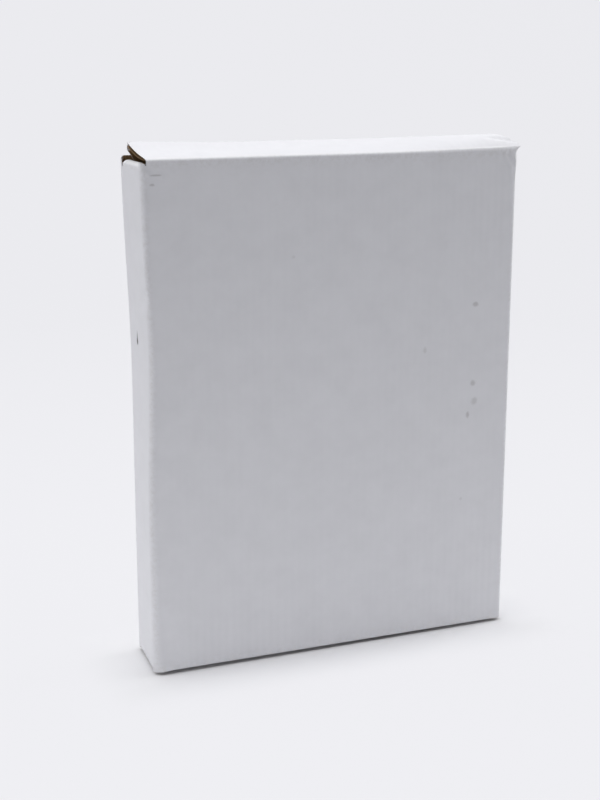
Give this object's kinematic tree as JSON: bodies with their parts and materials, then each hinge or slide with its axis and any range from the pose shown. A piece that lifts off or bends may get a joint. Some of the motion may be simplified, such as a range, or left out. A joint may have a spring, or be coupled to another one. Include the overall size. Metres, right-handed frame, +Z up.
{
  "type": "board game box",
  "caption": "Upright white corrugated tuck-end carton for a small board game, with hinged lid, bottom, tucks and dust flaps.",
  "frame": {"origin": "on the floor, under the middle of the box", "axes": "+Z up, +X to the right seen from the front, +Y to the back; the front panel faces -Y"},
  "size_m": [0.16, 0.03, 0.214],
  "materials": {
    "white_outer_liner": "matte white uncoated paper",
    "white_crease": "matte white paper, creased",
    "kraft_inner_liner": "matte brown kraft paper",
    "kraft_fluting": "matte brown fluting paper",
    "crushed_kraft_core": "matte brown crushed board",
    "dry_white_glue": "dry white glue"
  },
  "bodies": {
    "carton_tube": {"front_panel_outer_liner": "white_outer_liner", "front_panel_fluting": "kraft_fluting", "front_panel_inner_liner": "kraft_inner_liner", "back_panel_outer_liner": "white_outer_liner", "back_panel_fluting": "kraft_fluting", "back_panel_inner_liner": "kraft_inner_liner", "left_side_panel_outer_liner": "white_outer_liner", "left_side_panel_fluting": "kraft_fluting", "left_side_panel_inner_liner": "kraft_inner_liner", "right_side_panel_outer_liner": "white_outer_liner", "right_side_panel_fluting": "kraft_fluting", "right_side_panel_inner_liner": "kraft_inner_liner", "glue_flap_outer_liner": "white_outer_liner", "glue_flap_fluting": "kraft_fluting", "glue_flap_inner_liner": "kraft_inner_liner", "front_left_fold_liner": "white_outer_liner", "front_left_fold_core": "crushed_kraft_core", "front_right_fold_liner": "white_outer_liner", "front_right_fold_core": "crushed_kraft_core", "back_right_fold_liner": "white_outer_liner", "back_right_fold_core": "crushed_kraft_core", "back_left_fold_liner": "white_outer_liner", "back_left_fold_core": "crushed_kraft_core", "glue_seam": "dry_white_glue", "lid_crease": "white_crease", "top_left_dust_flap_crease": "white_crease", "top_right_dust_flap_crease": "white_crease", "bottom_panel_crease": "white_crease", "bottom_left_dust_flap_crease": "white_crease", "bottom_right_dust_flap_crease": "white_crease"},
    "lid": {"lid_outer_liner": "white_outer_liner", "lid_fluting": "kraft_fluting", "lid_inner_liner": "kraft_inner_liner", "lid_tuck_crease": "white_crease"},
    "lid_tuck": {"lid_tuck_outer_liner": "white_outer_liner", "lid_tuck_fluting": "kraft_fluting", "lid_tuck_inner_liner": "kraft_inner_liner"},
    "top_left_dust_flap": {"top_left_dust_flap_outer_liner": "white_outer_liner", "top_left_dust_flap_fluting": "kraft_fluting", "top_left_dust_flap_inner_liner": "kraft_inner_liner"},
    "top_right_dust_flap": {"top_right_dust_flap_outer_liner": "white_outer_liner", "top_right_dust_flap_fluting": "kraft_fluting", "top_right_dust_flap_inner_liner": "kraft_inner_liner"},
    "bottom_panel": {"bottom_panel_outer_liner": "white_outer_liner", "bottom_panel_fluting": "kraft_fluting", "bottom_panel_inner_liner": "kraft_inner_liner", "bottom_tuck_crease": "white_crease"},
    "bottom_tuck": {"bottom_tuck_outer_liner": "white_outer_liner", "bottom_tuck_fluting": "kraft_fluting", "bottom_tuck_inner_liner": "kraft_inner_liner"},
    "bottom_left_dust_flap": {"bottom_left_dust_flap_outer_liner": "white_outer_liner", "bottom_left_dust_flap_fluting": "kraft_fluting", "bottom_left_dust_flap_inner_liner": "kraft_inner_liner"},
    "bottom_right_dust_flap": {"bottom_right_dust_flap_outer_liner": "white_outer_liner", "bottom_right_dust_flap_fluting": "kraft_fluting", "bottom_right_dust_flap_inner_liner": "kraft_inner_liner"}
  },
  "joints": [
    {"name": "lid_hinge", "type": "hinge", "parent": "carton_tube", "child": "lid", "pos_m": [0, -0.0138, 0.2088], "axis": [1, 0, 0], "range_deg": [-9, 131]},
    {"name": "lid_tuck_fold", "type": "hinge", "parent": "lid", "child": "lid_tuck", "pos_m": [0, 0.01148, 0.2128], "axis": [1, 0, 0], "range_deg": [-39.32, 2.72]},
    {"name": "top_left_dust_fold", "type": "hinge", "parent": "carton_tube", "child": "top_left_dust_flap", "pos_m": [-0.0788, 0, 0.2069], "axis": [0, -1, 0], "range_deg": [-8.12, 117.92]},
    {"name": "top_right_dust_fold", "type": "hinge", "parent": "carton_tube", "child": "top_right_dust_flap", "pos_m": [0.0788, 0, 0.2069], "axis": [0, 1, 0], "range_deg": [-5.42, 78.62]},
    {"name": "bottom_hinge", "type": "hinge", "parent": "carton_tube", "child": "bottom_panel", "pos_m": [0, 0.0138, 0.0012], "axis": [1, 0, 0], "range_deg": [0, 130]},
    {"name": "bottom_tuck_fold", "type": "hinge", "parent": "bottom_panel", "child": "bottom_tuck", "pos_m": [0, -0.0118, 0.0012], "axis": [1, 0, 0], "range_deg": [-39.02, 0]},
    {"name": "bottom_left_dust_fold", "type": "hinge", "parent": "carton_tube", "child": "bottom_left_dust_flap", "pos_m": [-0.0788, 0, 0.0031], "axis": [0, 1, 0], "range_deg": [0, 78.02]},
    {"name": "bottom_right_dust_fold", "type": "hinge", "parent": "carton_tube", "child": "bottom_right_dust_flap", "pos_m": [0.0788, 0, 0.0031], "axis": [0, -1, 0], "range_deg": [0, 78.02]}
  ],
  "couplings": [
    {"joint": "lid_tuck_fold", "follows": "lid_hinge", "ratio": -0.3},
    {"joint": "top_left_dust_fold", "follows": "lid_hinge", "ratio": 0.9},
    {"joint": "top_right_dust_fold", "follows": "lid_hinge", "ratio": 0.6},
    {"joint": "bottom_tuck_fold", "follows": "bottom_hinge", "ratio": -0.3},
    {"joint": "bottom_left_dust_fold", "follows": "bottom_hinge", "ratio": 0.6},
    {"joint": "bottom_right_dust_fold", "follows": "bottom_hinge", "ratio": 0.6}
  ]
}
